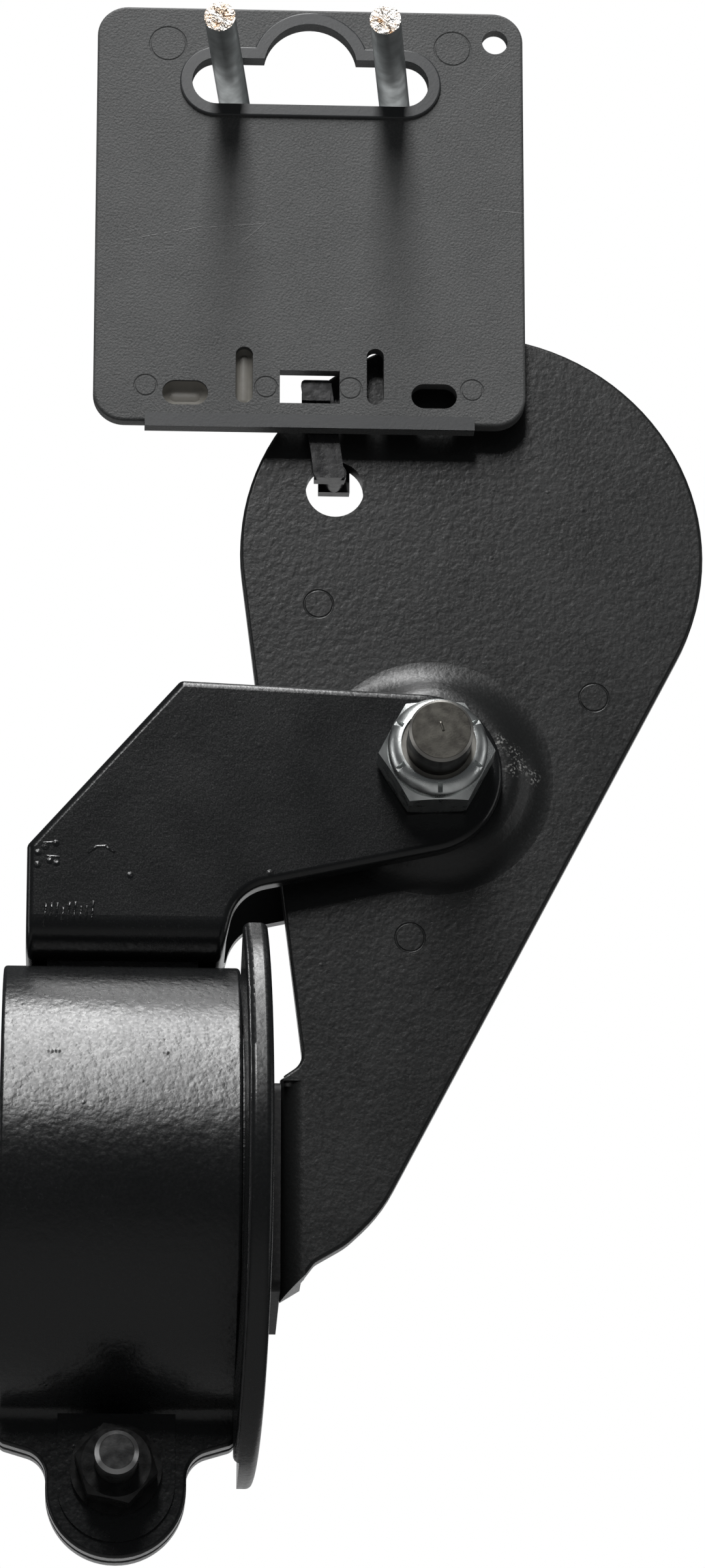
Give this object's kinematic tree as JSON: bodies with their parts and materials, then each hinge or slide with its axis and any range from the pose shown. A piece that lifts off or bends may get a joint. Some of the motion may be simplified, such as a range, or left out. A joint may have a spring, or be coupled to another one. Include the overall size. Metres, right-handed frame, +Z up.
{
  "type": "clamp-on swing bracket",
  "caption": "Black steel tube clamp whose two-armed yoke pivots a cam-shaped swing plate on a lock-nutted bolt, hung by a moulded tag from a twin-prong hanger.",
  "frame": {"origin": "centre of the tube clamp's bore", "axes": "+X along the bore towards the collar flange, +Y from the nut side to the bolt-head side, +Z up towards the pivot"},
  "size_m": [0.1325, 0.1079, 0.3032],
  "materials": {
    "black_powder_coat": "textured semi-gloss powder coat",
    "black_fasteners": "black oxide, semi-gloss",
    "bright_zinc": "bright zinc plate",
    "nylon": "plain nylon",
    "bronze": "sintered bronze",
    "pad_rubber": "moulded rubber",
    "tag_plastic": "fine-grained moulded plastic",
    "strap_plastic": "smooth moulded plastic",
    "prong_zinc": "dull zinc plate"
  },
  "bodies": {
    "hanger": {"prong_left": "prong_zinc", "prong_right": "prong_zinc", "hanger_plate": "prong_zinc"},
    "tag": {"hang_tag": "tag_plastic", "tag_strap": "strap_plastic", "strap_hook": "strap_plastic"},
    "swing": {"swing_plate": "black_powder_coat", "pivot_bush": "bronze", "stop_pad": "pad_rubber"},
    "clamp": {"clamp_band": "black_powder_coat", "collar_flange": "black_powder_coat", "flange_welds": "black_powder_coat", "yoke": "black_powder_coat", "yoke_welds": "black_powder_coat", "clamp_bolt": "black_fasteners", "clamp_nut": "black_fasteners", "clamp_washer_front": "black_fasteners", "clamp_washer_rear": "black_fasteners", "pivot_bolt": "black_fasteners", "pivot_nut": "bright_zinc", "pivot_nut_insert": "nylon", "pivot_washer": "bright_zinc", "pivot_sleeve": "bright_zinc", "pivot_spacer": "bright_zinc", "friction_washer": "nylon"}
  },
  "joints": [
    {"name": "tag_slide", "type": "slide", "parent": "hanger", "child": "tag", "axis": [-0.0958, -0.9954, 0], "range_m": [-0.006, 0.022]},
    {"name": "plate_hang", "type": "hinge", "parent": "tag", "child": "swing", "pos_m": [0.0398, -0.006, 0.14], "axis": [0, 1, 0], "range_deg": [-15, 15]},
    {"name": "clamp_swing", "type": "hinge", "parent": "swing", "child": "clamp", "pos_m": [0.0582, 0, 0.0792], "axis": [0, 1, 0], "range_deg": [-4, 55]}
  ]
}
